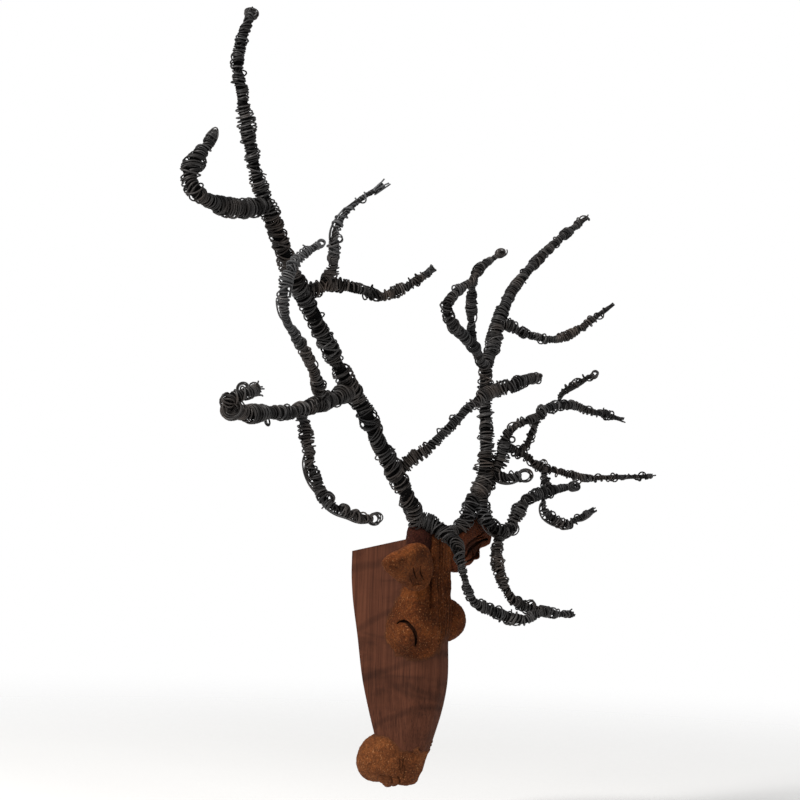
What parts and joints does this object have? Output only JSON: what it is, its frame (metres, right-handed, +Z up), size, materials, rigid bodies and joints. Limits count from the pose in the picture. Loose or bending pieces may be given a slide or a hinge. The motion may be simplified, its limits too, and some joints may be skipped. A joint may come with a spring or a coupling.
{
  "type": "wall-hung stag head sculpture",
  "caption": "Folk-art stag head to hang on a wall: tapered wooden block with clay muzzle, eyes, ears and crest, and wide branching antlers wound from dark wire.",
  "frame": {"origin": "on the wall plane, in the middle of the small flat at the top of the wooden block's back, where the head bears on the wall", "axes": "+Y points from the head into the wall, so the face looks along -Y; +X is to the right for someone who faces it; +Z is up"},
  "size_m": [0.4982, 0.1408, 0.5685],
  "materials": {
    "wood": "dark stained, waxed, open grain",
    "clay": "rough unglazed rust-brown clay with fine grit",
    "wire": "near-black annealed iron wire, dull"
  },
  "bodies": {
    "root": {"head_block": "wood", "forelock_crest": "clay", "eye_mound_left": "clay", "eye_mound_right": "clay", "ear_left": "clay", "ear_right": "clay", "pedicle_left": "clay", "pedicle_right": "clay", "muzzle": "clay", "chin": "clay", "antler_core_left": "wire", "antler_core_right": "wire", "winding_left_beam": "wire", "winding_left_brow_tine": "wire", "winding_left_cross_tine": "wire", "winding_left_hook_tine": "wire", "winding_left_drop_tine": "wire", "winding_left_climbing_tine": "wire", "winding_left_crown_hook": "wire", "winding_left_fork_wisp": "wire", "winding_left_fork_tine": "wire", "winding_right_beam": "wire", "winding_right_middle_tine": "wire", "winding_right_long_tine": "wire", "winding_right_middle_link": "wire", "winding_right_middle_spur": "wire", "winding_right_stub_tine": "wire", "winding_right_low_tine": "wire", "winding_right_down_tine": "wire", "winding_right_low_link": "wire", "winding_right_low_tail": "wire", "winding_right_loop_outer": "wire", "winding_right_loop_inner": "wire", "winding_right_top_tine": "wire"}
  },
  "joints": []
}
